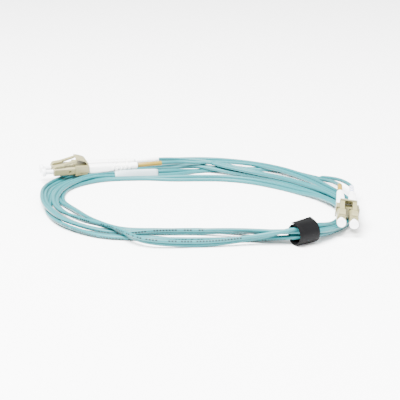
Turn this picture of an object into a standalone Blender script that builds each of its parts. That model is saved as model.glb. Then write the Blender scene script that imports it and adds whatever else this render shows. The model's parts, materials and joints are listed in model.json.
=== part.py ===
"""A duplex LC to LC fibre optic patch cord, loosely coiled and held by a hook-and-loop strap.

Lengths below are millimetres; MM turns them into the scene's metres. +Z is up and z = 0 is the
surface that the cord lies on. The origin is midway between the two connectors and the strap.
A plug is modelled in its own frame: +X out of its nose, +Z towards its latch, x = 0 at the nose.
"""

import math

import bmesh
import bpy
from mathutils import Matrix, Vector

MM = 0.001

# The optical line.
FERRULE_RADIUS = 0.625
FERRULE_TIP = 4.5
FERRULE_TAIL = -2.0
FLANGE_FRONT = -1.0
FLANGE_REAR = -7.0
COLLAR = (-2.05, -3.2)
COLLAR_RADIUS = 1.45
BARREL_RADIUS = 0.95
BUFFER_RADIUS = 0.45
BUFFER_FRONT = -3.1
BUFFER_REAR = -24.0

# The spring behind the ferrule's collar.
SPRING_RADIUS = 1.2
SPRING_WIRE = 0.13
SPRING_TURNS = 4.5
SPRING_SPAN = (-3.5, -7.8)

# The plug housing and the body behind it.
HOUSING_HALF = 2.25
HOUSING_REAR = -13.6
NOSE_BORE = 1.3
CAVITY_BORE = 1.55
CAVITY_FRONT = -1.9
WINDOW_CENTRE = -9.1
WINDOW_SIZE = (1.3, 7.0, 1.1)
BODY_HALF = 2.15
BODY_TUBE_RADIUS = 1.42
BODY_BORE = 0.65
BODY_SPAN = (-8.1, -13.8, -19.7, -23.6)
POST_RADIUS = 1.1

# Dust cap.
CAP_BORE = 0.72
CAP_BORE_END = 5.0
CAP_STEM = 1.25
CAP_FLANGE = 2.3
CAP_SPAN = (0.15, 4.4, 6.3)

# Crimp sleeve, boot and marker sleeve.
CRIMP_SPAN = (-20.5, -24.0, -27.2)
CRIMP_RADIUS = 1.45
BOOT_FRONT = -20.3
BOOT_REAR = -48.5
BOOT_HALF = (2.35, 1.8)
BOOT_COUNTERBORE = 1.6
BOOT_BORE = 1.15
MARKER_SPAN = (-48.9, -62.9)
MARKER_RADII = (1.3, 1.12)

# Latch and duplex clip with its trigger.
LATCH_HINGE = (-0.9, 2.6)
LATCH_STATIONS = (
    # x, top, bottom, half width
    (-0.45, 2.75, 2.42, 1.7),
    (-1.3, 3.30, 2.40, 1.7),
    (-5.9, 3.85, 2.97, 1.7),
    (-6.0, 4.15, 3.05, 1.1),
    (-13.3, 6.05, 5.30, 1.1),
)
DUPLEX_PITCH = 6.25
CLIP_SPAN = (-12.2, -13.7, -20.1)
CLIP_COLLAR = (5.95, -2.5, 2.85)
CLIP_BLOCK = (5.75, -2.35, 2.65)
CLIP_HOLE_HALF = 2.36
TRIGGER_HINGE = (-19.45, 3.1)
TRIGGER_HALF_WIDTH = 4.2
TRIGGER_OUTLINE = (
    (-13.0, 6.80),
    (-18.2, 5.35),
    (-19.4, 4.60),
    (-19.9, 3.60),
    (-19.9, 2.85),
    (-19.0, 2.85),
    (-19.0, 3.50),
    (-18.5, 4.30),
    (-17.9, 4.80),
    (-13.0, 6.25),
)

# Where each connector lies: nose point, heading of its nose and roll, and the side of line a.
PLUG_ROLL = -7.0
ENDS = {
    "left": {"nose": (-79.0, 51.0, 7.0), "heading": 198.0, "side_of_a": 1.0},
    "right": {"nose": (76.4, -48.0, 7.4), "heading": 265.2, "side_of_a": -1.0},
}
LINES = ("a", "b")

# The two single jackets of each end: straight through the boot, then along these points.
LEG_RADIUS = 1.0
LEG_START = -24.2
LEG_STRAIGHT_END = -64.0
LEG_STEP = 5.0
LEG_ROUTES = {
    ("left", "a"): ((-8.0, 71.4, 6.3), (2.0, 71.8, 5.8), (11.0, 70.6, 5.5)),
    ("left", "b"): ((-8.0, 75.9, 6.8), (2.0, 75.5, 6.1), (11.0, 73.6, 5.5)),
    ("right", "a"): (
        (78.4, 21.5, 6.7),
        (76.2, 31.0, 5.5),
        (73.6, 39.6, 4.0),
        (70.9, 45.6, 2.8),
        (67.6, 50.6, 2.0),
    ),
    ("right", "b"): (
        (83.6, 22.0, 6.9),
        (80.8, 33.5, 5.7),
        (76.8, 43.2, 4.2),
        (72.2, 49.8, 2.9),
        (68.6, 52.4, 2.0),
    ),
}

# The loose coil as one ring: middle line, width, underside and height of its bundle.
COIL_STATIONS = (
    # x, y, width, underside, height
    (-74.3, 10.0, 14.3, 0.0, 4.6),
    (-73.1, 34.7, 14.1, 0.0, 3.6),
    (-59.0, 55.1, 21.8, 0.0, 3.5),
    (-37.7, 66.0, 34.0, 0.0, 3.4),
    (-16.8, 70.9, 44.0, 0.0, 3.6),
    (3.0, 72.7, 43.0, 0.0, 4.0),
    (18.9, 69.3, 38.3, 0.0, 4.0),
    (32.9, 61.7, 32.2, 0.0, 4.2),
    (46.6, 53.6, 31.5, 0.0, 4.0),
    (55.7, 40.4, 24.7, 0.0, 3.4),
    (64.3, 26.4, 19.9, 0.0, 3.4),
    (74.9, 10.0, 20.0, 0.0, 3.9),
    (80.2, -10.7, 13.7, 0.0, 3.9),
    (77.6, -28.0, 9.0, 0.2, 3.9),
    (71.6, -39.9, 9.0, 0.6, 4.0),
    (66.0, -50.0, 7.6, 2.2, 4.0),
    (59.7, -58.6, 7.0, 3.4, 4.0),
    (54.6, -62.3, 7.0, 3.5, 4.0),
    (48.6, -65.8, 7.0, 3.5, 4.0),
    (42.5, -66.4, 8.6, 2.6, 4.2),
    (35.1, -62.8, 17.0, 1.2, 4.6),
    (21.0, -57.6, 25.0, 0.0, 4.4),
    (3.0, -55.6, 25.8, 0.0, 4.2),
    (-18.1, -55.0, 26.0, 0.0, 4.8),
    (-39.4, -48.4, 19.3, 0.0, 5.0),
    (-56.8, -33.4, 20.0, 0.0, 4.4),
    (-66.9, -12.7, 18.5, 0.0, 4.8),
)
COIL_SAMPLES = 4
COIL_EDGE = 0.8

# The film label wrapped round one pass of the cord.
LABEL_CENTRE = (-33.0, 59.3, 2.4)
LABEL_HEADING = 14.4
LABEL_LENGTH = 23.0
LABEL_LEAN = -65.0
LABEL_SIZE = (4.8, 2.7)
LABEL_WALL = 0.25
LABEL_CLEARANCE = 0.3

# The hook-and-loop strap: a band wound a little more than once round the bundle.
STRAP_CENTRE = (53.8, -62.8, 5.7)
STRAP_HEADING = 32.0
STRAP_WIDTH = 11.5
STRAP_INNER = 4.2
STRAP_THICKNESS = 0.8
STRAP_START = 75.0
STRAP_TURN = 400.0
STRAP_GAP = 0.1
STRAP_STEPS = 40

ROUND_SIDES = 16
INNER_SIDES = 12


# Materials -------------------------------------------------------------------------------


def make_material(name, color, roughness, metallic=0.0):
    material = bpy.data.materials.new(name)
    material.use_nodes = True
    shader = material.node_tree.nodes["Principled BSDF"]
    shader.inputs["Base Color"].default_value = (*color, 1.0)
    shader.inputs["Roughness"].default_value = roughness
    shader.inputs["Metallic"].default_value = metallic
    return material


def make_materials():
    return {
        "aqua_jacket": make_material("aqua_jacket", (0.30, 0.56, 0.58), 0.45),
        "beige_plastic": make_material("beige_plastic", (0.66, 0.62, 0.50), 0.45),
        "white_boot": make_material("white_boot", (0.85, 0.85, 0.84), 0.5),
        "cap_plastic": make_material("cap_plastic", (0.88, 0.89, 0.90), 0.35),
        "zirconia": make_material("zirconia", (0.93, 0.92, 0.88), 0.15),
        "nickel": make_material("nickel", (0.70, 0.69, 0.66), 0.3, 1.0),
        "spring_steel": make_material("spring_steel", (0.60, 0.60, 0.60), 0.3, 1.0),
        "buffer": make_material("buffer", (0.90, 0.90, 0.86), 0.4),
        "marker_yellow": make_material("marker_yellow", (0.82, 0.56, 0.07), 0.4),
        "marker_white": make_material("marker_white", (0.86, 0.86, 0.86), 0.4),
        "label_film": make_material("label_film", (0.62, 0.69, 0.70), 0.35),
        "strap_fabric": make_material("strap_fabric", (0.02, 0.02, 0.022), 0.9),
    }


# Mesh builders ---------------------------------------------------------------------------


def add_object(name, mesh, material, parent=None, location=(0, 0, 0)):
    mesh.materials.append(material)
    mesh.shade_smooth()
    mesh.set_sharp_from_angle(angle=math.radians(35))
    node = bpy.data.objects.new(name, mesh)
    bpy.context.scene.collection.objects.link(node)
    node.parent = parent
    node.location = Vector(location) * MM
    return node


def mesh_from_rings(name, rings, closed=False):
    """Joins rings of points, in order. Closed joins the last to the first; else the ends are capped."""
    builder = bmesh.new()
    loops = [[builder.verts.new(Vector(point) * MM) for point in ring] for ring in rings]
    pairs = list(zip(loops, loops[1:]))
    if closed:
        pairs.append((loops[-1], loops[0]))
    else:
        builder.faces.new(loops[0])
        builder.faces.new(loops[-1])
    for one, other in pairs:
        for index in range(len(one)):
            after = (index + 1) % len(one)
            builder.faces.new((one[index], one[after], other[after], other[index]))
    bmesh.ops.recalc_face_normals(builder, faces=builder.faces)
    mesh = bpy.data.meshes.new(name)
    builder.to_mesh(mesh)
    builder.free()
    return mesh


def round_ring(x, radius, sides=ROUND_SIDES):
    angles = [2 * math.pi * (step + 0.5) / sides for step in range(sides)]
    return [(x, radius * math.cos(angle), radius * math.sin(angle)) for angle in angles]


def square_ring(x, half, corner, sides=ROUND_SIDES):
    """A square outline with cut corners, with its points at the same angles as a round ring's."""
    ring = []
    for step in range(sides):
        angle = 2 * math.pi * (step + 0.5) / sides
        across, up = math.cos(angle), math.sin(angle)
        reach = min(half / max(abs(across), abs(up)), (2 * half - corner) / (abs(across) + abs(up)))
        ring.append((x, reach * across, reach * up))
    return ring


def box_ring(x, half_width, bottom, top):
    return [
        (x, -half_width, bottom),
        (x, half_width, bottom),
        (x, half_width, top),
        (x, -half_width, top),
    ]


def make_turned(name, profile, material, parent, location, sides=ROUND_SIDES, closed=False):
    """A piece turned about X from a profile of (x, radius) points."""
    rings = [round_ring(x, radius, sides) for x, radius in profile]
    return add_object(name, mesh_from_rings(name, rings, closed), material, parent, location)


def make_cutter(name, size, parent, location, heading=0.0):
    builder = bmesh.new()
    bmesh.ops.create_cube(builder, size=1.0)
    bmesh.ops.scale(builder, vec=Vector(size) * MM, verts=builder.verts)
    mesh = bpy.data.meshes.new(name)
    builder.to_mesh(mesh)
    builder.free()
    cutter = bpy.data.objects.new(name, mesh)
    bpy.context.scene.collection.objects.link(cutter)
    cutter.parent = parent
    cutter.location = Vector(location) * MM
    cutter.rotation_euler.z = math.radians(heading)
    cutter.hide_render = True
    cutter.display_type = "WIRE"
    return cutter


def cut(node, cutter):
    boolean = node.modifiers.new(cutter.name, "BOOLEAN")
    boolean.operation = "DIFFERENCE"
    boolean.solver = "EXACT"
    boolean.object = cutter


# Plug pieces -----------------------------------------------------------------------------


def make_dust_cap(name, material, frame, place):
    inner, neck, tip = CAP_SPAN
    profile = (
        (tip, CAP_FLANGE - 0.35),
        (tip - 0.35, CAP_FLANGE),
        (neck + 0.3, CAP_FLANGE),
        (neck, CAP_FLANGE - 0.3),
        (neck - 0.15, CAP_STEM),
        (inner, CAP_STEM),
        (inner, CAP_BORE),
        (CAP_BORE_END, CAP_BORE),
    )
    make_turned(name, profile, material, frame, place)


def make_ferrule(name, material, frame, place):
    profile = (
        (FERRULE_TIP, FERRULE_RADIUS - 0.15),
        (FERRULE_TIP - 0.2, FERRULE_RADIUS),
        (FERRULE_TAIL, FERRULE_RADIUS),
    )
    make_turned(name, profile, material, frame, place)


def make_ferrule_flange(name, material, frame, place):
    seat = FERRULE_TAIL - 0.1
    socket = FERRULE_RADIUS + 0.1
    neck = BARREL_RADIUS + 0.1
    profile = (
        (FLANGE_FRONT, neck),
        (COLLAR[0], neck),
        (COLLAR[0], COLLAR_RADIUS),
        (COLLAR[1], COLLAR_RADIUS),
        (COLLAR[1], BARREL_RADIUS),
        (FLANGE_REAR, BARREL_RADIUS),
        (FLANGE_REAR, BUFFER_RADIUS + 0.1),
        (seat, BUFFER_RADIUS + 0.1),
        (seat, socket),
        (FLANGE_FRONT, socket),
    )
    make_turned(name, profile, material, frame, place, INNER_SIDES, closed=True)


def make_spring(name, material, frame, place, sides=5, steps_per_turn=12):
    steps = round(SPRING_TURNS * steps_per_turn)
    rings = []
    for step in range(steps + 1):
        share = step / steps
        turn = 2 * math.pi * SPRING_TURNS * share
        x = SPRING_SPAN[0] + (SPRING_SPAN[1] - SPRING_SPAN[0]) * share
        outward = Vector((0, math.cos(turn), math.sin(turn)))
        centre = Vector((x, 0, 0)) + outward * SPRING_RADIUS
        ring = []
        for corner in range(sides):
            angle = 2 * math.pi * corner / sides
            along = Vector((math.sin(angle), 0, 0))
            ring.append(centre + (outward * math.cos(angle) + along) * SPRING_WIRE)
        rings.append(ring)
    add_object(name, mesh_from_rings(name, rings), material, frame, place)


def make_housing(name, material, frame, place):
    corner = 0.45
    rings = (
        square_ring(0.0, HOUSING_HALF - 0.2, corner),
        square_ring(-0.4, HOUSING_HALF, corner),
        square_ring(HOUSING_REAR, HOUSING_HALF, corner),
        round_ring(HOUSING_REAR, CAVITY_BORE),
        round_ring(CAVITY_FRONT, CAVITY_BORE),
        round_ring(CAVITY_FRONT, NOSE_BORE),
        round_ring(0.0, NOSE_BORE),
    )
    housing = add_object(name, mesh_from_rings(name, rings, closed=True), material, frame, place)
    window_place = (place[0] + WINDOW_CENTRE, place[1], place[2])
    cut(housing, make_cutter(name + "_window", WINDOW_SIZE, frame, window_place))


def make_latch(name, material, frame, place):
    """The mesh is drawn about the hinge at the latch's root, which is the object's origin."""
    hinge_x, hinge_z = LATCH_HINGE
    rings = [
        box_ring(x - hinge_x, half, bottom - hinge_z, top - hinge_z)
        for x, top, bottom, half in LATCH_STATIONS
    ]
    root = (place[0] + hinge_x, place[1], place[2] + hinge_z)
    add_object(name, mesh_from_rings(name, rings), material, frame, root)


def make_rear_body(name, material, frame, place):
    tube, block, post, rear = BODY_SPAN
    rings = (
        round_ring(tube, BODY_TUBE_RADIUS),
        round_ring(block, BODY_TUBE_RADIUS),
        square_ring(block, BODY_HALF, 0.4),
        square_ring(post, BODY_HALF, 0.4),
        round_ring(post, POST_RADIUS),
        round_ring(rear, POST_RADIUS),
        round_ring(rear, BODY_BORE),
        round_ring(tube, BODY_BORE),
    )
    add_object(name, mesh_from_rings(name, rings, closed=True), material, frame, place)


def make_crimp_sleeve(name, material, frame, place):
    front, step, rear = CRIMP_SPAN
    over_post = POST_RADIUS + 0.12
    over_jacket = LEG_RADIUS + 0.12
    profile = (
        (front, CRIMP_RADIUS),
        (rear, CRIMP_RADIUS - 0.1),
        (rear, over_jacket),
        (step, over_jacket),
        (step, over_post),
        (front, over_post),
    )
    make_turned(name, profile, material, frame, place, INNER_SIDES, closed=True)


def make_boot(name, material, frame, place):
    front_half, rear_half = BOOT_HALF
    shoulder = BOOT_FRONT - 4.0
    counterbore_end = CRIMP_SPAN[2] - 0.3
    rings = (
        square_ring(BOOT_FRONT, front_half - 0.2, 1.1),
        square_ring(BOOT_FRONT - 0.5, front_half, 1.1),
        square_ring(shoulder, front_half, 1.2),
        round_ring(BOOT_REAR + 0.4, rear_half),
        round_ring(BOOT_REAR, rear_half - 0.25),
        round_ring(BOOT_REAR, BOOT_BORE),
        round_ring(counterbore_end, BOOT_BORE),
        round_ring(counterbore_end, BOOT_COUNTERBORE),
        round_ring(BOOT_FRONT, BOOT_COUNTERBORE),
    )
    add_object(name, mesh_from_rings(name, rings, closed=True), material, frame, place)


def make_fibre(name, material, frame, place):
    profile = ((BUFFER_FRONT, BUFFER_RADIUS), (BUFFER_REAR, BUFFER_RADIUS))
    make_turned(name, profile, material, frame, place, INNER_SIDES)


def make_marker_sleeve(name, material, frame, place):
    front, rear = MARKER_SPAN
    outer, inner = MARKER_RADII
    profile = ((front, outer), (rear, outer), (rear, inner), (front, inner))
    make_turned(name, profile, material, frame, place, closed=True)


# Duplex clip -----------------------------------------------------------------------------


def make_clip(name, material, frame):
    front, step, rear = CLIP_SPAN
    rings = (
        box_ring(front, *CLIP_COLLAR),
        box_ring(step, *CLIP_COLLAR),
        box_ring(step, *CLIP_BLOCK),
        box_ring(rear, *CLIP_BLOCK),
    )
    clip = add_object(name, mesh_from_rings(name, rings), material, frame)
    hole = (20.0, 2 * CLIP_HOLE_HALF, 2 * CLIP_HOLE_HALF)
    for side in (-0.5, 0.5):
        place = ((front + rear) / 2, side * DUPLEX_PITCH, 0.0)
        cut(clip, make_cutter(f"{name}_hole_{side:+}", hole, frame, place))


def make_trigger(name, material, frame):
    """The mesh is drawn about its hinge at the clip's rear edge, which is the object's origin."""
    hinge_x, hinge_z = TRIGGER_HINGE
    rings = [
        [(x - hinge_x, side * TRIGGER_HALF_WIDTH, z - hinge_z) for x, z in TRIGGER_OUTLINE]
        for side in (-1, 1)
    ]
    add_object(name, mesh_from_rings(name, rings), material, frame, (hinge_x, 0, hinge_z))


# Cord ------------------------------------------------------------------------------------


def smooth_point(before, start, end, after, share):
    """A point of the Catmull-Rom curve between start and end."""
    return 0.5 * (
        2 * start
        + (end - before) * share
        + (2 * before - 5 * start + 4 * end - after) * share**2
        + (3 * start - before - 3 * end + after) * share**3
    )


def smooth_line(points, step):
    """Points about one step apart on a smooth open curve through the given points."""
    ends = [2 * points[0] - points[1], *points, 2 * points[-1] - points[-2]]
    line = []
    for before, start, end, after in zip(ends, ends[1:], ends[2:], ends[3:]):
        count = max(1, round((end - start).length / step))
        line += [smooth_point(before, start, end, after, index / count) for index in range(count)]
    return [*line, points[-1]]


def make_leg(name, material, line):
    curve = bpy.data.curves.new(name, "CURVE")
    curve.dimensions = "3D"
    curve.bevel_depth = LEG_RADIUS * MM
    curve.bevel_resolution = 2
    curve.use_fill_caps = True
    spline = curve.splines.new("POLY")
    spline.points.add(len(line) - 1)
    for point, place in zip(spline.points, line):
        point.co = (*(place * MM), 1.0)
    curve.materials.append(material)
    node = bpy.data.objects.new(name, curve)
    bpy.context.scene.collection.objects.link(node)
    return node


def leg_line(frame_matrix, side, route):
    """Straight out of the plug through its boot and marker sleeve, then along the route."""
    across = side * DUPLEX_PITCH / 2
    straight = [
        frame_matrix @ Vector((x, across, 0))
        for x in (LEG_START, (LEG_START + LEG_STRAIGHT_END) / 2, LEG_STRAIGHT_END + 5, LEG_STRAIGHT_END)
    ]
    return smooth_line([*straight, *map(Vector, route)], LEG_STEP)


def coil_sections():
    """(middle point, outward direction, width, underside, height) along the closed ring."""
    stations = [Vector(station) for station in COIL_STATIONS]
    count = len(stations)
    smooth = []
    for index in range(count):
        around = [stations[(index + offset) % count] for offset in (-1, 0, 1, 2)]
        smooth += [smooth_point(*around, step / COIL_SAMPLES) for step in range(COIL_SAMPLES)]
    sections = []
    for index, station in enumerate(smooth):
        after, before = smooth[(index + 1) % len(smooth)], smooth[index - 1]
        run = Vector((after[0] - before[0], after[1] - before[1])).normalized()
        x, y, width, underside, height = station
        sections.append(((x, y), (-run.y, run.x), width, max(0.0, underside), height))
    return sections


def make_coil(name, material):
    rings = []
    for (x, y), (out_x, out_y), width, underside, height in coil_sections():
        half, top = width / 2, underside + height
        outline = (
            (-half + COIL_EDGE, underside),
            (half - COIL_EDGE, underside),
            (half, underside + COIL_EDGE),
            (half, top - COIL_EDGE),
            (half - COIL_EDGE, top),
            (-half + COIL_EDGE, top),
            (-half, top - COIL_EDGE),
            (-half, underside + COIL_EDGE),
        )
        rings.append([(x + out_x * across, y + out_y * across, up) for across, up in outline])
    coil = add_object(name, mesh_from_rings(name, rings, closed=True), material)
    reach = 12.0
    size = (
        LABEL_LENGTH + 2 * LABEL_CLEARANCE,
        LABEL_SIZE[0] / 2 + LABEL_CLEARANCE + reach,
        10.0,
    )
    turn = Matrix.Rotation(math.radians(LABEL_HEADING), 3, "Z")
    inward = turn @ Vector((0, (LABEL_SIZE[0] / 2 + LABEL_CLEARANCE - reach) / 2, 0))
    cutter = make_cutter("coil_label_notch", size, None, Vector(LABEL_CENTRE) + inward, LABEL_HEADING)
    cut(coil, cutter)


def stadium(x, width, height, steps=5):
    """An outline with flat top and bottom and half-round sides."""
    radius = height / 2
    ring = []
    for side, start in ((1, -90), (-1, 90)):
        for step in range(steps):
            angle = math.radians(start + 180 * step / (steps - 1))
            across = side * (width / 2 - radius) + radius * math.cos(angle)
            ring.append((x, across, radius * math.sin(angle)))
    return ring


def make_label_sleeve(name, material):
    width, height = LABEL_SIZE
    inner = (width - 2 * LABEL_WALL, height - 2 * LABEL_WALL)
    end = LABEL_LENGTH / 2
    rings = (
        stadium(-end, width, height),
        stadium(end, width, height),
        stadium(end, *inner),
        stadium(-end, *inner),
    )
    sleeve = add_object(name, mesh_from_rings(name, rings, closed=True), material)
    sleeve.location = Vector(LABEL_CENTRE) * MM
    sleeve.rotation_euler = (math.radians(LABEL_LEAN), 0, math.radians(LABEL_HEADING))


def make_strap(name, material):
    """The band's section is a spiral: its free end lies over its start."""
    growth = (STRAP_THICKNESS + STRAP_GAP) / 360.0
    inner, outer = [], []
    for step in range(STRAP_STEPS + 1):
        turned = STRAP_TURN * step / STRAP_STEPS
        angle = math.radians(STRAP_START + turned)
        radius = STRAP_INNER + growth * turned
        inner.append((radius * math.cos(angle), radius * math.sin(angle)))
        reach = radius + STRAP_THICKNESS
        outer.append((reach * math.cos(angle), reach * math.sin(angle)))
    outline = inner + outer[::-1]
    end = STRAP_WIDTH / 2
    builder = bmesh.new()
    sides = [[builder.verts.new(Vector((x, y, z)) * MM) for y, z in outline] for x in (-end, end)]
    count = len(outline)
    for index in range(count):
        after = (index + 1) % count
        builder.faces.new((sides[0][index], sides[0][after], sides[1][after], sides[1][index]))
    for side in sides:
        for index in range(STRAP_STEPS):
            mirrored = count - 1 - index
            builder.faces.new((side[index], side[index + 1], side[mirrored - 1], side[mirrored]))
    bmesh.ops.recalc_face_normals(builder, faces=builder.faces)
    mesh = bpy.data.meshes.new(name)
    builder.to_mesh(mesh)
    builder.free()
    strap = add_object(name, mesh, material)
    strap.location = Vector(STRAP_CENTRE) * MM
    strap.rotation_euler.z = math.radians(STRAP_HEADING)


# Assembly --------------------------------------------------------------------------------


def clear_scene():
    for node in list(bpy.data.objects):
        bpy.data.objects.remove(node, do_unlink=True)


def make_plug_frame(end, settings):
    """(empty, matrix in millimetres) of a connector's own frame."""
    matrix = (
        Matrix.Translation(settings["nose"])
        @ Matrix.Rotation(math.radians(settings["heading"]), 4, "Z")
        @ Matrix.Rotation(math.radians(PLUG_ROLL), 4, "X")
    )
    empty = bpy.data.objects.new(end + "_plug_frame", None)
    bpy.context.scene.collection.objects.link(empty)
    empty.matrix_world = Matrix.Translation(Vector(settings["nose"]) * MM) @ matrix.to_3x3().to_4x4()
    return empty, matrix


def make_simplex(end, line, side, frame, materials):
    place = (0.0, side * DUPLEX_PITCH / 2, 0.0)
    marker = materials["marker_yellow"] if line == "a" else materials["marker_white"]
    make_dust_cap(f"{end}_dust_cap_{line}", materials["cap_plastic"], frame, place)
    make_ferrule(f"{end}_ferrule_{line}", materials["zirconia"], frame, place)
    make_ferrule_flange(f"{end}_ferrule_flange_{line}", materials["nickel"], frame, place)
    make_spring(f"{end}_spring_{line}", materials["spring_steel"], frame, place)
    make_housing(f"{end}_housing_{line}", materials["beige_plastic"], frame, place)
    make_latch(f"{end}_latch_{line}", materials["beige_plastic"], frame, place)
    make_rear_body(f"{end}_rear_body_{line}", materials["beige_plastic"], frame, place)
    make_crimp_sleeve(f"{end}_crimp_sleeve_{line}", materials["nickel"], frame, place)
    make_boot(f"{end}_boot_{line}", materials["white_boot"], frame, place)
    make_fibre(f"{end}_buffered_fibre_{line}", materials["buffer"], frame, place)
    make_marker_sleeve(f"{end}_marker_sleeve_{line}", marker, frame, place)


def make_connector(end, settings, materials):
    frame, matrix = make_plug_frame(end, settings)
    make_clip(f"{end}_clip", materials["beige_plastic"], frame)
    make_trigger(f"{end}_trigger", materials["beige_plastic"], frame)
    for line in LINES:
        side = settings["side_of_a"] if line == "a" else -settings["side_of_a"]
        make_simplex(end, line, side, frame, materials)
        route = leg_line(matrix, side, LEG_ROUTES[end, line])
        make_leg(f"{end}_leg_{line}", materials["aqua_jacket"], route)


def main():
    clear_scene()
    materials = make_materials()
    for end, settings in ENDS.items():
        make_connector(end, settings, materials)
    make_coil("coil", materials["aqua_jacket"])
    make_label_sleeve("label_sleeve", materials["label_film"])
    make_strap("strap", materials["strap_fabric"])


main()
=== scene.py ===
"""A duplex LC to LC fibre optic patch cord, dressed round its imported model.

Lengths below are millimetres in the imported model's frame, and MM turns them into metres. A plug's
own frame has its nose at x = 0, +X out of the nose, +Y across the pair and +Z towards the latches.
"""

import json
import math

import bmesh
import bpy
from mathutils import Matrix, Vector


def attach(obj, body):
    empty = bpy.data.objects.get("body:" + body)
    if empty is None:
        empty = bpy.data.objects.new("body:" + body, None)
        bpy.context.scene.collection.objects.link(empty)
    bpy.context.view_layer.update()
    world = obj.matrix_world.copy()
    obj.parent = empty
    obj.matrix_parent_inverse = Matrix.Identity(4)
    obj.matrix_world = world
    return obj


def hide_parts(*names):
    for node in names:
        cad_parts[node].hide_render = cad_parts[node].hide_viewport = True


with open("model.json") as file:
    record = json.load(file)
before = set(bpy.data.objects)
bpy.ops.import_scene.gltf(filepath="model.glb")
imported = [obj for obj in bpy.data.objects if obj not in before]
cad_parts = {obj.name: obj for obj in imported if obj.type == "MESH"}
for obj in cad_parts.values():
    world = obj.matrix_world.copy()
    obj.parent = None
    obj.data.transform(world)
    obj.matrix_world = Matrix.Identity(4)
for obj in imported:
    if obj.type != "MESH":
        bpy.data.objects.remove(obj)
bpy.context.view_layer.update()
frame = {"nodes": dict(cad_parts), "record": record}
MM = 0.001
UP = Vector((0, 0, 1))
ENDS = ("left", "right")
LINES = ("a", "b")

# Camera: the point it looks at, its distance, its height above the horizon and its lens.
CAMERA_TARGET = Vector((3.8, 14.0, 0.0))
CAMERA_DISTANCE = 750.0
CAMERA_ELEVATION = 16.0
CAMERA_LENS = 126.0

# The duplex cord is two jackets side by side, joined by a thin web.
JACKET_RADIUS = 1.0
HALF_PITCH = 1.03
WEB_HALF_ANGLE = 15.0
JACKET_SIDES = 20
CORD_STEP = 1.6

# The coil, clockwise from the back: the cord's distance from the coil's centre, its height and
# its lean in degrees, outer jacket up. The first lane is at 72 degrees; each next is 18 on.
COIL_CENTRE = Vector((3.0, 10.0))
FIRST_ANGLE = 72.0
ANGLE_STEP = 18.0
LANES = (
    # from the left plug's junction to the back
    (59, 4.7, 10), (59, 3.1, 0), (60.5, 3.1, 0), (64.5, 3.1, 0), (73, 3.1, 0),
    (82.6, 3.1, 0), (88.2, 3.2, 0), (90.6, 6.4, 0), (67, 3.8, 35), (59, 1.95, 55),
    (62, 1.95, 50), (72, 1.5, 10), (79.5, 3.2, 20), (80.5, 3.6, 15), (82.5, 3.2, 25),
    (86.5, 1.75, 45), (87, 1.5, 20), (86, 1.05, 0), (85, 1.4, 20),
    # second turn
    (83, 1.8, 45), (77, 3.1, 20), (74, 3.2, 20), (73.5, 2.2, 40), (73.7, 1.9, 40),
    (79, 1.3, 10), (84, 1.05, 0), (86.4, 1.2, 0), (88.8, 3.6, 0), (73, 1.5, 10),
    (72.5, 1.75, 45), (71, 1.2, 5), (79, 1.3, 10), (81.8, 1.6, 35), (80.5, 1.1, 5),
    (79.5, 1.05, 0), (82, 1.05, 0), (80, 1.05, 0), (77, 1.2, 0), (71, 1.6, 30),
    # third turn
    (63, 3.4, 10), (59.5, 1.8, 10), (60, 1.1, 0), (60.5, 1.1, 0), (64, 1.1, 0),
    (71, 1.05, 0), (79.8, 1.05, 0), (81.8, 1.7, 0), (86.75, 5.6, 0), (60.5, 1.5, 5),
    (54.5, 1.05, 0), (57.5, 1.05, 0), (65, 1.15, 0), (65.5, 1.6, 25), (67, 1.65, 25),
    (73, 1.05, 0), (75.5, 1.05, 0), (69, 1.1, 0), (55.5, 1.05, 0), (45, 1.6, 35),
    # fourth turn
    (43, 1.75, 45), (44.5, 1.75, 45), (46.5, 1.75, 45), (49.5, 1.75, 45), (55.5, 1.75, 40),
    (66, 2.6, 0), (78.3, 3.1, 0), (84.2, 3.5, 0), (88.8, 8.4, 0), (79, 3.6, 50),
    (78.5, 2.05, 65), (82, 3.4, 58), (72.5, 4.1, 40), (73, 3.4, 40), (75.5, 3.1, 20),
    (76, 3.1, 20), (75.5, 3.2, 0), (72, 3.1, 20), (61, 2.4, 65), (55.5, 2.2, 60),
    # last part, out to the right plug's junction
    (61, 1.05, 0), (68, 1.05, 0), (78, 1.05, 0),
)
# Where the two jackets part at each end: the middle between them, and the lean.
LEFT_JUNCTION = (11.2, 72.1, 5.5, 0)
RIGHT_JUNCTION = (67.9, 51.9, 2.0, 10)

# The single jackets, from the boot's mouth to the junction; the first points are in the plug's
# frame and the others on the way to the cord. LEG_AIM and LEG_OVERLAP say how far before the cord's
# end a leg lines up with it, and how far into it the leg runs, in steps of the cord.
LEG_STRAIGHT = (-45.0, -54.0, -63.5)
LEG_STEP = 1.5
LEG_AIM = 2.0
LEG_OVERLAP = 0.4
LEG_ROUTES = {
    ("left", "a"): ((-8.0, 71.4, 6.3), (2.0, 71.8, 5.8)),
    ("left", "b"): ((-8.0, 75.9, 6.8), (2.0, 75.5, 6.1)),
    ("right", "a"): ((78.4, 21.5, 6.7), (76.2, 31.0, 5.5), (73.6, 39.6, 4.0), (70.9, 45.6, 2.8)),
    ("right", "b"): ((83.6, 22.0, 6.9), (80.8, 33.5, 5.7), (76.8, 43.2, 4.2), (72.2, 49.8, 2.9)),
}

# How far a plug's axis lies above the mount on its nose face, and how far apart two plugs are.
NOSE_DROP = 1.7
DUPLEX_PITCH = 6.25


# Shapes ----------------------------------------------------------------------------------


def add_mesh(name, mesh, material):
    mesh.materials.append(material)
    piece = bpy.data.objects.new(name, mesh)
    bpy.context.scene.collection.objects.link(piece)
    return piece


def in_metres(place):
    moved = place.copy()
    moved.translation = place.translation * MM
    return moved


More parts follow.
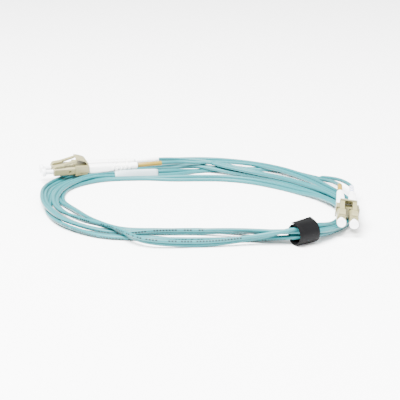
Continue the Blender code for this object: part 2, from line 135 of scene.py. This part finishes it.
def ring_mesh(name, rings, material, closed=False, place=None, smooth=True):
    """A skin over rings of equal size. Its ends are capped unless closed joins them."""
    builder = bmesh.new()
    rows = [[builder.verts.new(Vector(point) * MM) for point in ring] for ring in rings]
    sides = len(rows[0])
    pairs = list(zip(rows, rows[1:]))
    if closed:
        pairs.append((rows[-1], rows[0]))
    for row, after in pairs:
        for index in range(sides):
            following = (index + 1) % sides
            builder.faces.new((row[index], row[following], after[following], after[index]))
    if not closed:
        builder.faces.new(rows[0])
        builder.faces.new(rows[-1])
    bmesh.ops.recalc_face_normals(builder, faces=builder.faces)
    mesh = bpy.data.meshes.new(name)
    builder.to_mesh(mesh)
    builder.free()
    mesh.polygons.foreach_set("use_smooth", [smooth] * len(mesh.polygons))
    piece = add_mesh(name, mesh, material)
    if place:
        piece.matrix_world = in_metres(place)
    return piece


def round_ring(x, radius, sides=48):
    angles = (2 * math.pi * index / sides for index in range(sides))
    return [(x, radius * math.cos(angle), radius * math.sin(angle)) for angle in angles]


def turned(name, profile, material, place, closed=False):
    """A round piece about the plug's axis, from (x, radius) points."""
    return ring_mesh(name, [round_ring(x, radius) for x, radius in profile], material, closed, place)


def outlined(name, outline, half_width, material, place):
    """An outline of (x, z) points, as wide as half_width on both sides of y = 0."""
    sides = [[(x, side * half_width, z) for x, z in outline] for side in (-1, 1)]
    return ring_mesh(name, sides, material, place=place, smooth=False)


def soften(piece, width, segments=3, angle=35.0):
    """Rounds a piece's edges and shades it smoothly between them."""
    bevel = piece.modifiers.new("soften", "BEVEL")
    bevel.width = width * MM
    bevel.segments = segments
    bevel.limit_method = "ANGLE"
    bevel.angle_limit = math.radians(angle)
    bevel.harden_normals = True
    for polygon in piece.data.polygons:
        polygon.use_smooth = True
    return piece


def cut(piece, cutter):
    boolean = piece.modifiers.new(cutter.name, "BOOLEAN")
    boolean.operation = "DIFFERENCE"
    boolean.solver = "EXACT"
    boolean.object = cutter
    cutter.hide_render = True
    cutter.display_type = "WIRE"


def smooth_point(before, start, end, after, share):
    """A point of the Catmull-Rom curve between start and end."""
    return 0.5 * (
        2 * start
        + (end - before) * share
        + (2 * before - 5 * start + 4 * end - after) * share**2
        + (3 * start - before - 3 * end + after) * share**3
    )


def smooth_line(points, step):
    """Points about one step apart on a smooth open curve through the given points."""
    points = [Vector(point) for point in points]
    ends = [2 * points[0] - points[1], *points, 2 * points[-1] - points[-2]]
    line = []
    for before, start, end, after in zip(ends, ends[1:], ends[2:], ends[3:]):
        count = max(1, round((end - start).length / step))
        line += [smooth_point(before, start, end, after, index / count) for index in range(count)]
    return [*line, points[-1]]


def line_length(points):
    return sum((after - before).length for before, after in zip(points, points[1:]))


# Duplex cord -----------------------------------------------------------------------------


def coil_route():
    """(x, y, z, lean) along the duplex cord, from the left junction to the right one."""
    points = [Vector(LEFT_JUNCTION)]
    for index, (radius, height, lean) in enumerate(LANES):
        angle = math.radians(FIRST_ANGLE - ANGLE_STEP * index)
        x = COIL_CENTRE.x + radius * math.cos(angle)
        y = COIL_CENTRE.y + radius * math.sin(angle)
        points.append(Vector((x, y, height, lean)))
    points.append(Vector(RIGHT_JUNCTION))
    return smooth_line(points, CORD_STEP)


def cord_sections(route):
    """(middle, across, facing) along the route: across points from jacket a to jacket b."""
    sections = []
    for index, point in enumerate(route):
        before, after = route[max(index - 1, 0)], route[min(index + 1, len(route) - 1)]
        along = (after - before).to_3d().normalized()
        outward = UP.cross(along).normalized()
        above = along.cross(outward)
        lean = math.radians(point[3])
        across = outward * math.cos(lean) + above * math.sin(lean)
        sections.append((point.to_3d(), across, along.cross(across)))
    return sections


def duplex_outline():
    """(across, facing, mark) round both jackets. mark is the share of a turn, plus 2 on jacket b."""
    outline = []
    sweep = 360.0 - 2 * WEB_HALF_ANGLE
    for jacket, side in ((2, 1), (0, -1)):
        start = -180.0 + WEB_HALF_ANGLE if side > 0 else WEB_HALF_ANGLE
        for index in range(JACKET_SIDES):
            angle = start + sweep * index / (JACKET_SIDES - 1)
            turn = math.radians(angle)
            across = side * HALF_PITCH + JACKET_RADIUS * math.cos(turn)
            facing = JACKET_RADIUS * math.sin(turn)
            outline.append((across, facing, jacket + angle / 360.0))
    return outline


def make_duplex_cord(route, material):
    """The skin of both jackets, with (distance along, place round) as its UV map."""
    outline = duplex_outline()
    builder = bmesh.new()
    uv_layer = builder.loops.layers.uv.new("cord")
    rows = []
    for middle, across, facing in cord_sections(route):
        points = [middle + across * out + facing * up for out, up, _ in outline]
        rows.append([builder.verts.new(point * MM) for point in points])
    distance = 0.0
    for index, (row, after) in enumerate(zip(rows, rows[1:])):
        reached = distance + (route[index + 1] - route[index]).to_3d().length
        for side in range(len(outline)):
            following = (side + 1) % len(outline)
            face = builder.faces.new((row[side], row[following], after[following], after[side]))
            marks = (outline[side][2], outline[following][2])
            corners = ((distance, 0), (distance, 1), (reached, 1), (reached, 0))
            for loop, (along, which) in zip(face.loops, corners):
                loop[uv_layer].uv = (along, marks[which])
            face.smooth = True
        distance = reached
    for row in (rows[0], rows[-1]):
        builder.faces.new(row)
    bmesh.ops.recalc_face_normals(builder, faces=builder.faces)
    mesh = bpy.data.meshes.new("duplex_cord")
    builder.to_mesh(mesh)
    builder.free()
    return add_mesh("duplex_cord", mesh, material)


def tube(name, line, radius, material):
    """A round cord along a line, as a curve."""
    curve = bpy.data.curves.new(name, "CURVE")
    curve.dimensions = "3D"
    curve.bevel_depth = radius * MM
    curve.bevel_resolution = 6
    curve.use_fill_caps = True
    spline = curve.splines.new("POLY")
    spline.points.add(len(line) - 1)
    for point, place in zip(spline.points, line):
        point.co = (*(place * MM), 1.0)
    spline.use_smooth = True
    return add_mesh(name, curve, material)


# Materials -------------------------------------------------------------------------------

AQUA = (0.010, 0.112, 0.124)
SLEEVE_WHITE = (0.80, 0.80, 0.80)
JACKET_FINISH = {"mottle": 0.05, "bump": 0.08, "Specular_IOR_Level": 0.3}
FABRIC_FINISH = {"mottle": 0.4, "bump": 0.4, "Specular_IOR_Level": 0.06}

# The printed bars on a white sleeve: their pitch, their share of it, how high up they start, and
# their colour.
BAR_PITCH = 3.2
BAR_STROKE = 0.4
BAR_FROM_HEIGHT = 0.5
BAR_INK = (0.10, 0.16, 0.45)

# The printed legend: the pitch of its dashes, their share of it and how many are left out; where
# it first starts, how often it repeats and how much of a repeat is printed; where it lies round
# jacket b, as in duplex_outline; then its colour and how far that covers the jacket's.
LEGEND_PITCH = 1.5
LEGEND_STROKE = 0.62
LEGEND_BLANKS = 0.25
LEGEND_FROM = 228.0
LEGEND_REPEAT = 464.0
LEGEND_SHARE = 0.29
LEGEND_CENTRE = 1.90
LEGEND_HALF_WIDTH = 0.07
LEGEND_INK = (0.004, 0.008, 0.010)
LEGEND_STRENGTH = 0.95

# A Mix node's two colours and its result, among the sockets that it has for every data type.
MIX_BELOW = 6
MIX_ABOVE = 7
MIX_RESULT = 2


def surface(name, color, roughness, mottle=0.06, grain=60.0, bump=0.1, **sockets):
    """A principled material whose tint and height vary finely, at one roughness."""
    material = bpy.data.materials.new(name)
    material.use_nodes = True
    nodes, links = material.node_tree.nodes, material.node_tree.links
    shader = nodes["Principled BSDF"]
    shader.inputs["Roughness"].default_value = roughness
    for socket, value in sockets.items():
        shader.inputs[socket.replace("_", " ")].default_value = value
    place = nodes.new("ShaderNodeTexCoord")
    noise = nodes.new("ShaderNodeTexNoise")
    noise.inputs["Scale"].default_value = grain
    noise.inputs["Detail"].default_value = 4.0
    links.new(place.outputs["Object"], noise.inputs["Vector"])
    tint = nodes.new("ShaderNodeValToRGB")
    tint.name = "tint"
    tint.color_ramp.elements[0].position = 0.3
    tint.color_ramp.elements[0].color = (*(channel * (1 - mottle) for channel in color), 1)
    tint.color_ramp.elements[1].position = 0.7
    tint.color_ramp.elements[1].color = (*(min(1, channel * (1 + mottle)) for channel in color), 1)
    links.new(noise.outputs["Fac"], tint.inputs["Fac"])
    links.new(tint.outputs["Color"], shader.inputs["Base Color"])
    height = nodes.new("ShaderNodeTexNoise")
    height.name = "height"
    height.inputs["Scale"].default_value = grain * 40
    height.inputs["Detail"].default_value = 3.0
    links.new(place.outputs["Object"], height.inputs["Vector"])
    relief = nodes.new("ShaderNodeBump")
    relief.name = "relief"
    relief.inputs["Strength"].default_value = bump
    relief.inputs["Distance"].default_value = 0.00005
    links.new(height.outputs["Fac"], relief.inputs["Height"])
    links.new(relief.outputs["Normal"], shader.inputs["Normal"])
    return material


def math_node(nodes, links, operation, first, second):
    """A Math node on two values, each a number or another node's output."""
    node = nodes.new("ShaderNodeMath")
    node.operation = operation
    for socket, value in zip(node.inputs, (first, second)):
        if isinstance(value, (int, float)):
            socket.default_value = value
        else:
            links.new(value, socket)
    return node.outputs["Value"]


def print_over(material, mask, ink):
    """Lays ink over a material's tint, as far as the mask says."""
    nodes, links = material.node_tree.nodes, material.node_tree.links
    mix = nodes.new("ShaderNodeMix")
    mix.data_type = "RGBA"
    links.new(mask, mix.inputs["Factor"])
    links.new(nodes["tint"].outputs["Color"], mix.inputs[MIX_BELOW])
    mix.inputs[MIX_ABOVE].default_value = (*ink, 1)
    links.new(mix.outputs[MIX_RESULT], nodes["Principled BSDF"].inputs["Base Color"])


def add_legend(material):
    """Generic dashes, not letters, along jacket b, from the UV map's distance and place round."""
    nodes, links = material.node_tree.nodes, material.node_tree.links
    uv = nodes.new("ShaderNodeUVMap")
    uv.uv_map = "cord"
    split = nodes.new("ShaderNodeSeparateXYZ")
    links.new(uv.outputs["UV"], split.inputs["Vector"])

    def combine(operation, first, second):
        return math_node(nodes, links, operation, first, second)

    along = combine("DIVIDE", split.outputs["X"], LEGEND_PITCH)
    stroke = combine("LESS_THAN", combine("FRACT", along, 0.0), LEGEND_STROKE)
    scatter = nodes.new("ShaderNodeTexWhiteNoise")
    scatter.noise_dimensions = "1D"
    links.new(combine("FLOOR", along, 0.0), scatter.inputs["W"])
    present = combine("GREATER_THAN", scatter.outputs["Value"], LEGEND_BLANKS)
    reached = combine("SUBTRACT", split.outputs["X"], LEGEND_FROM)
    group = combine("FRACT", combine("DIVIDE", reached, LEGEND_REPEAT), 0.0)
    printed = combine("LESS_THAN", group, LEGEND_SHARE)
    offset = combine("ABSOLUTE", combine("SUBTRACT", split.outputs["Y"], LEGEND_CENTRE), 0.0)
    band = combine("LESS_THAN", offset, LEGEND_HALF_WIDTH)
    dashes = combine("MULTIPLY", stroke, present)
    mask = combine("MULTIPLY", dashes, combine("MULTIPLY", printed, band))
    print_over(material, combine("MULTIPLY", mask, LEGEND_STRENGTH), LEGEND_INK)


def add_bars(material):
    """Generic bars, not letters, over a sleeve's top, placed in the plug's own frame."""
    nodes, links = material.node_tree.nodes, material.node_tree.links
    place = nodes.new("ShaderNodeTexCoord")
    split = nodes.new("ShaderNodeSeparateXYZ")
    links.new(place.outputs["Object"], split.inputs["Vector"])
    along = math_node(nodes, links, "DIVIDE", split.outputs["X"], -BAR_PITCH * MM)
    within = math_node(nodes, links, "FRACT", along, 0.0)
    bars = math_node(nodes, links, "LESS_THAN", within, BAR_STROKE)
    band = math_node(nodes, links, "GREATER_THAN", split.outputs["Z"], BAR_FROM_HEIGHT * MM)
    print_over(material, math_node(nodes, links, "MULTIPLY", bars, band), BAR_INK)


def make_materials():
    made = {
        "aqua_jacket": surface("aqua_jacket", AQUA, 0.42, **JACKET_FINISH),
        "legend_jacket": surface("legend_jacket", AQUA, 0.42, **JACKET_FINISH),
        "beige_plastic": surface("beige_plastic", (0.190, 0.172, 0.080), 0.36, bump=0.12),
        "white_boot": surface("white_boot", (0.84, 0.835, 0.82), 0.45, mottle=0.02),
        "cap_plastic": surface("cap_plastic", (0.80, 0.81, 0.82), 0.35, mottle=0.02),
        "zirconia": surface("zirconia", (0.93, 0.92, 0.88), 0.15, mottle=0.01),
        "nickel": surface("nickel", (0.70, 0.69, 0.66), 0.3, Metallic=1.0),
        "spring_steel": surface("spring_steel", (0.60, 0.60, 0.60), 0.3, Metallic=1.0),
        "buffer": surface("buffer", (0.90, 0.90, 0.86), 0.4, mottle=0.02),
        "marker_yellow": surface("marker_yellow", (0.19, 0.12, 0.0), 0.5),
        "marker_white": surface("marker_white", SLEEVE_WHITE, 0.45, mottle=0.02),
        "marked_white": surface("marked_white", SLEEVE_WHITE, 0.45, mottle=0.02),
        "label_film": surface("label_film", (0.30, 0.36, 0.38), 0.3, mottle=0.03),
        "strap_fabric": surface("strap_fabric", (0.002, 0.002, 0.0023), 0.5, **FABRIC_FINISH),
        "floor": surface("floor", (0.95, 0.95, 0.95), 0.8, mottle=0.005, grain=3.0, bump=0.0),
    }
    add_bars(made["marked_white"])
    add_legend(made["legend_jacket"])
    return made


# Plug frames -----------------------------------------------------------------------------


def named(rows, name):
    return next(row for row in rows if row["name"] == name)


def plug_place(end, line=None):
    """The plug pair's frame, or one plug's, as a matrix in millimetres."""
    joints = frame["record"]["behaviour"]["joints"]
    mounts = frame["record"]["mounts"]
    forward = Vector(named(joints, f"{end}_dust_cap_pull_a")["axis"]).normalized()
    across = Vector(named(joints, f"{end}_trigger_press")["axis"]).normalized()
    above = forward.cross(across)
    faces = {each: Vector(named(mounts, f"{end}_plug_face_{each}")["pos_m"]) / MM for each in LINES}
    middle = faces[line] if line else (faces["a"] + faces["b"]) / 2
    origin = middle + above * NOSE_DROP
    turn = Matrix((forward, across, above)).transposed().to_4x4()
    return Matrix.Translation(origin) @ turn


# Cords -----------------------------------------------------------------------------------


def make_legs(route, materials):
    """The four single jackets, each a cord from its boot to the junction of the duplex cord."""
    sections = cord_sections(route)
    legs = {}
    for (end, line), way in LEG_ROUTES.items():
        place = plug_place(end, line)
        middle, across, _ = sections[0] if end == "left" else sections[-1]
        side = 1 if line == "b" else -1
        inside = sections[1][0] - middle if end == "left" else sections[-2][0] - middle
        finish = middle + across * (side * HALF_PITCH)
        straight = [place @ Vector((x, 0, 0)) for x in LEG_STRAIGHT]
        joining = (finish - inside * LEG_AIM, finish + inside * LEG_OVERLAP)
        line_points = smooth_line([*straight, *way, *joining], LEG_STEP)
        name = f"{end}_jacket_{line}"
        piece = tube(name, line_points, JACKET_RADIUS, materials["aqua_jacket"])
        legs[end, line] = (piece, line_points)
    return legs


def declare_cords(duplex, legs):
    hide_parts("coil")
    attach(duplex, "cord")
    for (end, line), (piece, points) in legs.items():
        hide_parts(f"{end}_leg_{line}")
        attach(piece, "cord")


# Sleeves and label -----------------------------------------------------------------------

# A marker sleeve: its ends along the plug's axis, its outer and inner radius, and its edge.
MARKER_SPAN = (-48.9, -62.9)
MARKER_RADII = (1.3, 1.12)
MARKER_EDGE_LENGTH = 0.1
MARKER_EDGE_DEPTH = 0.06

# The label: its powers square off a circle, across and in height, and its tucks narrow each end.
LABEL_CENTRE = Vector((-33.0, 59.3, 2.4))
LABEL_LENGTH = 23.0
LABEL_HALF_WIDTH = 2.55
LABEL_HALF_HEIGHT = 1.3
LABEL_WALL = 0.25
LABEL_POWERS = (0.55, 0.8)
LABEL_TUCKS = (0.25, 0.05)


def dress(piece, slot, body, *nodes):
    """The piece moves with that body and stands for those nodes; slot is not used."""
    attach(piece, body)
    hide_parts(*nodes)


def make_marker_sleeves(materials):
    front, rear = MARKER_SPAN
    outer, inner = MARKER_RADII
    profile = (
        (front, inner),
        (front, outer - MARKER_EDGE_DEPTH),
        (front - MARKER_EDGE_LENGTH, outer),
        (rear + MARKER_EDGE_LENGTH, outer),
        (rear, outer - MARKER_EDGE_DEPTH),
        (rear, inner),
    )
    sleeves = {}
    for end in ENDS:
        for line, slot in zip(LINES, ("marker_yellow", "marker_white")):
            name = f"{end}_printed_sleeve_{line}"
            material = materials["marked_white" if (end, line) == ("right", "b") else slot]
            piece = turned(name, profile, material, plug_place(end, line), closed=True)
            dress(piece, slot, "cord", f"{end}_marker_sleeve_{line}")
            sleeves[end, line] = piece
    return sleeves


def label_ring(half_width, half_height, sides=24):
    """Points round a flattened tube, as (across, facing)."""
    ring = []
    for index in range(sides):
        angle = 2 * math.pi * index / sides
        across, up = math.cos(angle), math.sin(angle)
        wide = math.copysign(abs(across) ** LABEL_POWERS[0], across)
        high = math.copysign(abs(up) ** LABEL_POWERS[1], up)
        ring.append((half_width * wide, half_height * high))
    return ring


def make_label(route, material):
    """The film wrapped round one pass of the duplex cord, following it."""
    sections = cord_sections(route)
    nearest = min(range(len(route)), key=lambda index: (sections[index][0] - LABEL_CENTRE).length)
    middles = [middle for middle, _, _ in sections]
    first, last = nearest, nearest
    while line_length(middles[first : nearest + 1]) < LABEL_LENGTH / 2:
        first -= 1
    while line_length(middles[nearest : last + 1]) < LABEL_LENGTH / 2:
        last += 1
    span = sections[first : last + 1]
    rings = []
    for wall, order in ((0.0, span), (LABEL_WALL, span[::-1])):
        for index, (middle, across, facing) in enumerate(order):
            from_end = min(index, len(order) - 1 - index)
            tuck = LABEL_TUCKS[from_end] if from_end < len(LABEL_TUCKS) and not wall else 0.0
            ring = label_ring(LABEL_HALF_WIDTH - wall - tuck, LABEL_HALF_HEIGHT - wall - tuck / 2)
            rings.append([middle + across * out + facing * up for out, up in ring])
    label = ring_mesh("label_film_sleeve", rings, material, closed=True)
    dress(label, "label_film", "cord", "label_sleeve")
    return label


# Connectors ------------------------------------------------------------------------------

# A dust cap as (x, radius) points: the outside from its closed end, then the bore.
CAP_PROFILE = (
    (6.15, 1.35),
    (6.3, 1.5),
    (6.3, 2.0),
    (6.2, 2.2),
    (5.95, 2.3),
    (4.8, 2.3),
    (4.5, 2.2),
    (4.3, 1.8),
    (4.15, 1.35),
    (3.8, 1.25),
    (0.15, 1.25),
    (0.15, 0.72),
    (5.0, 0.72),
)

# The boot: its ends and where its taper starts, its half size at both ends, and its rounded ends.
BOOT_FRONT = -20.3
BOOT_REAR = -48.5
BOOT_TAPER_FROM = BOOT_FRONT - 4.0
BOOT_HALF = (2.35, 1.8)
BOOT_ROUND_POWER = 2.0
BOOT_SQUARE_POWER = 3.0
BOOT_EDGE_LENGTH = 0.4
BOOT_EDGE_DEPTH = 0.3
BOOT_WALL_STEP = 0.2
BOOT_SIDES = 64
BOOT_BORES = (1.6, 1.15)
BOOT_BORE_STEP = -27.5
SLOT_FROM = -33.6
SLOT_PITCH = 1.25
SLOT_COUNT = 10
SLOT_HALF_LENGTH = 0.36
SLOT_HALF_TURN = 0.62
SLOT_DEPTH = 0.55

# The trigger's side view, as (x, z) points.
TRIGGER_HALF_WIDTH = 4.2
TRIGGER_TOP = ((-13.0, 6.85), (-14.8, 6.55), (-16.6, 6.05), (-18.2, 5.4), (-19.4, 4.55), (-19.95, 3.5))
TRIGGER_UNDER = ((-19.9, 2.85), (-19.0, 2.85), (-18.9, 3.5), (-18.4, 4.25), (-17.6, 4.85), (-15.6, 5.6))
TRIGGER_LIP = ((-13.6, 6.05), (-13.0, 6.15))

# The clip's front, step and rear, then its sections as (half width, bottom, top).
CLIP_SPAN = (-12.2, -13.7, -20.1)
CLIP_COLLAR = (5.95, -2.5, 2.85)
CLIP_BLOCK = (5.75, -2.35, 2.65)
CLIP_HOLE_HALF = 2.36

# What is cut from a clip, as (length, width, height).
CLIP_HOLE = (20.0, 2 * CLIP_HOLE_HALF, 2 * CLIP_HOLE_HALF)
CLIP_GROOVE = (5.2, 0.6, 0.35)
CLIP_NOTCH = (1.2, 0.9, 1.3)
CLIP_GAP = (5.0, 0.9, 1.6)


def boot_share(x):
    """0 at the boot's square front and 1 at its round rear."""
    return min(1.0, max(0.0, (BOOT_TAPER_FROM - x) / (BOOT_TAPER_FROM - BOOT_REAR)))


def boot_radius(x, angle):
    """A rounded square that turns into a circle, with short slots across it near the rear."""
    share = boot_share(x)
    half = BOOT_HALF[0] + (BOOT_HALF[1] - BOOT_HALF[0]) * share
    power = BOOT_ROUND_POWER + BOOT_SQUARE_POWER * (1.0 - share) ** 1.5
    flat = abs(math.cos(angle)) ** power + abs(math.sin(angle)) ** power
    radius = half / flat ** (1 / power)
    end = min(x - BOOT_REAR, BOOT_FRONT - x)
    if end < BOOT_EDGE_LENGTH:
        radius -= BOOT_EDGE_DEPTH * (1 - end / BOOT_EDGE_LENGTH) ** 2
    for index in range(SLOT_COUNT):
        centre = SLOT_FROM - SLOT_PITCH * index
        turn = math.pi / 4 + (math.pi / 2) * (index % 2)
        off = abs((angle - turn + math.pi / 2) % math.pi - math.pi / 2)
        if abs(x - centre) < SLOT_HALF_LENGTH and off < SLOT_HALF_TURN:
            radius -= SLOT_DEPTH
    return radius


def make_boot(name, material, place):
    steps = round((BOOT_FRONT - BOOT_REAR) / BOOT_WALL_STEP)
    rings = []
    for step in range(steps + 1):
        x = BOOT_FRONT + (BOOT_REAR - BOOT_FRONT) * step / steps
        angles = [2 * math.pi * index / BOOT_SIDES for index in range(BOOT_SIDES)]
        radii = [boot_radius(x, angle) for angle in angles]
        rings.append([(x, r * math.cos(angle), r * math.sin(angle)) for r, angle in zip(radii, angles)])
    wide, narrow = BOOT_BORES
    bore = ((BOOT_REAR, narrow), (BOOT_BORE_STEP, narrow), (BOOT_BORE_STEP, wide), (BOOT_FRONT, wide))
    for x, radius in bore:
        rings.append(round_ring(x, radius, BOOT_SIDES))
    boot = ring_mesh(name, rings, material, closed=True, place=place)
    shade_by_angle(boot, 40)
    return boot


def shade_by_angle(piece, degrees):
    """Smooth shading, except across edges sharper than that."""
    mesh = piece.data
    builder = bmesh.new()
    builder.from_mesh(mesh)
    limit = math.radians(degrees)
    for edge in builder.edges:
        edge.smooth = len(edge.link_faces) == 2 and edge.calc_face_angle() < limit
    builder.to_mesh(mesh)
    builder.free()


def box_ring(x, half_width, bottom, top):
    corners = ((-half_width, bottom), (half_width, bottom), (half_width, top), (-half_width, top))
    return [(x, y, z) for y, z in corners]


def cutter_box(name, size, centre, material, place):
    (x, y, z), (long, wide, high) = centre, size
    rings = [box_ring(x + side * long / 2, wide / 2, -high / 2, high / 2) for side in (-1, 1)]
    rings = [[(px, py + y, pz + z) for px, py, pz in ring] for ring in rings]
    return ring_mesh(name, rings, material, place=place, smooth=False)


def make_clip(end, material):
    """The duplex clip: a collar and a block round both plugs, grooved along its sides."""
    place = plug_place(end)
    front, step, rear = CLIP_SPAN
    parts = ((front, CLIP_COLLAR), (step, CLIP_COLLAR), (step, CLIP_BLOCK), (rear, CLIP_BLOCK))
    rings = [box_ring(x, *section) for x, section in parts]
    name = f"{end}_duplex_clip"
    clip = ring_mesh(name, rings, material, place=place, smooth=False)
    middle = (front + rear) / 2
    for side in (-1, 1):
        plug = (middle, side * DUPLEX_PITCH / 2, 0)
        cut(clip, cutter_box(f"{name}_hole_{side}", CLIP_HOLE, plug, material, place))
        edge = (step - 3.6, side * CLIP_BLOCK[0], -1.35)
        cut(clip, cutter_box(f"{name}_groove_{side}", CLIP_GROOVE, edge, material, place))
        corner = (rear + 0.5, side * (CLIP_BLOCK[0] - 0.1), CLIP_BLOCK[1] + 0.2)
        cut(clip, cutter_box(f"{name}_notch_{side}", CLIP_NOTCH, corner, material, place))
    underside = (front - 0.8, 0, CLIP_COLLAR[1])
    cut(clip, cutter_box(f"{name}_gap", CLIP_GAP, underside, material, place))
    soften(clip, 0.16)
    dress(clip, "beige_plastic", "cord", f"{end}_clip")


def make_trigger(end, material):
    """The curved roof that presses both latches, with a thicker front edge."""
    top = smooth_flat(TRIGGER_TOP)
    under = smooth_flat(TRIGGER_UNDER)
    outline = [*top, *under, *TRIGGER_LIP]
    roof = outlined(f"{end}_trigger_roof", outline, TRIGGER_HALF_WIDTH, material, plug_place(end))
    soften(roof, 0.14, angle=50)
    dress(roof, "beige_plastic", f"{end}_trigger", f"{end}_trigger")


def smooth_flat(points):
    line = smooth_line([(x, 0, z) for x, z in points], 0.5)
    return [(point.x, point.z) for point in line]


def make_connectors(materials):
    for end in ENDS:
        make_clip(end, materials["beige_plastic"])
        make_trigger(end, materials["beige_plastic"])
        for line in LINES:
            place = plug_place(end, line)
            cap = turned(f"{end}_cap_{line}", CAP_PROFILE, materials["cap_plastic"], place)
            shade_by_angle(cap, 40)
            dress(cap, "cap_plastic", f"{end}_dust_cap_{line}", f"{end}_dust_cap_{line}")
            boot = make_boot(f"{end}_slotted_boot_{line}", materials["white_boot"], place)
            dress(boot, "white_boot", "cord", f"{end}_boot_{line}")


def finish_model_nodes(materials):
    """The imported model's nodes that still show: the scene's materials and rounded edges."""
    slots = {row["node"]: row["material_slot"] for row in frame["record"]["subparts"]}
    for name, node in frame["nodes"].items():
        node.data.materials.clear()
        node.data.materials.append(materials[slots[name]])
        if "_housing_" in name or "_latch_" in name or "_rear_body_" in name:
            soften(node, 0.12)


# Strap -----------------------------------------------------------------------------------

# The strap winds about its own X axis, clockwise seen from +X. STRAP_START is the angle of its inner
# end and STRAP_TURN how far it winds, in degrees. The last TAB_TURN of it lift off by TAB_LIFT.
STRAP_CENTRE = Vector((53.8, -62.8, 5.7))
STRAP_HEADING = 32.0
STRAP_HALF_WIDTH = 5.75
STRAP_INNER = 4.2
STRAP_THICKNESS = 0.75
STRAP_GAP = 0.1
STRAP_EDGE = 0.12
STRAP_START = 108.0
STRAP_TURN = 400.0
STRAP_STEPS = 120
STRAP_COLUMNS = 12
TAB_TURN = 34.0
TAB_LIFT = 1.2


def strap_radius(turned_by, column):
    """The band's inner radius: a slow spiral whose free end lifts, most at its +X corner."""
    radius = STRAP_INNER + (STRAP_THICKNESS + STRAP_GAP) * turned_by / 360.0
    loose = max(0.0, (turned_by - (STRAP_TURN - TAB_TURN)) / TAB_TURN)
    share = column / STRAP_COLUMNS
    return radius + TAB_LIFT * share * loose**2


def strap_row(step, thickness):
    turned_by = STRAP_TURN * step / STRAP_STEPS
    angle = math.radians(STRAP_START - turned_by)
    row = []
    for column in range(STRAP_COLUMNS + 1):
        across = STRAP_HALF_WIDTH * (2 * column / STRAP_COLUMNS - 1)
        edge = STRAP_EDGE if column in (0, STRAP_COLUMNS) else 0.0
        inset = edge if thickness else -edge
        radius = strap_radius(turned_by, column) + thickness - inset
        row.append((across, radius * math.cos(angle), radius * math.sin(angle)))
    return row


def make_strap(material):
    place = Matrix.Translation(STRAP_CENTRE) @ Matrix.Rotation(math.radians(STRAP_HEADING), 4, "Z")
    rings = []
    for step in range(STRAP_STEPS + 1):
        rings.append([*strap_row(step, 0.0), *strap_row(step, STRAP_THICKNESS)[::-1]])
    strap = ring_mesh("hook_and_loop_strap", rings, material, place=place)
    shade_by_angle(strap, 50)
    dress(strap, "strap_fabric", "cord", "strap")


# Studio ----------------------------------------------------------------------------------

# The floor, in millimetres; then each light's place and size, in metres, and its power.
FLOOR_HALF = 4000
FLOOR_HEIGHTS = (-20, -0.02)
LIGHTS = {
    "key": ((-0.3, -0.4, 1.2), 1.0, 170),
    "fill": ((0.9, -0.5, 0.8), 1.0, 12),
}
WORLD_STRENGTH = 1.8


def make_camera():
    tilt = math.radians(CAMERA_ELEVATION)
    data = bpy.data.cameras.new("camera")
    data.lens = CAMERA_LENS
    data.clip_start = 0.01
    camera = bpy.data.objects.new("camera", data)
    back = Vector((0, -math.cos(tilt), math.sin(tilt))) * CAMERA_DISTANCE
    camera.location = (CAMERA_TARGET + back) * MM
    camera.rotation_euler = (math.pi / 2 - tilt, 0, 0)
    bpy.context.scene.collection.objects.link(camera)
    bpy.context.scene.camera = camera


def make_light(name, place, size, power):
    """A square area light that faces the origin."""
    data = bpy.data.lights.new(name, "AREA")
    data.size = size
    data.energy = power
    light = bpy.data.objects.new(name, data)
    light.location = place
    light.rotation_euler = (-Vector(place)).to_track_quat("-Z", "Y").to_euler()
    bpy.context.scene.collection.objects.link(light)


def make_studio(materials):
    corners = ((-1, -1), (1, -1), (1, 1), (-1, 1))
    rings = [[(x * FLOOR_HALF, y * FLOOR_HALF, z) for x, y in corners] for z in FLOOR_HEIGHTS]
    floor = ring_mesh("floor", rings, materials["floor"], smooth=False)
    for name, (place, size, power) in LIGHTS.items():
        make_light(name, place, size, power)
    world = bpy.data.worlds.new("studio")
    world.use_nodes = True
    background = world.node_tree.nodes["Background"]
    background.inputs["Color"].default_value = (1, 1, 1, 1)
    background.inputs["Strength"].default_value = WORLD_STRENGTH
    bpy.context.scene.world = world


def main():
    materials = make_materials()
    make_camera()
    make_studio(materials)
    route = coil_route()
    duplex = make_duplex_cord(route, materials["legend_jacket"])
    legs = make_legs(route, materials)
    sleeves = make_marker_sleeves(materials)
    label = make_label(route, materials["label_film"])
    declare_cords(duplex, legs)
    make_connectors(materials)
    make_strap(materials["strap_fabric"])
    finish_model_nodes(materials)


main()
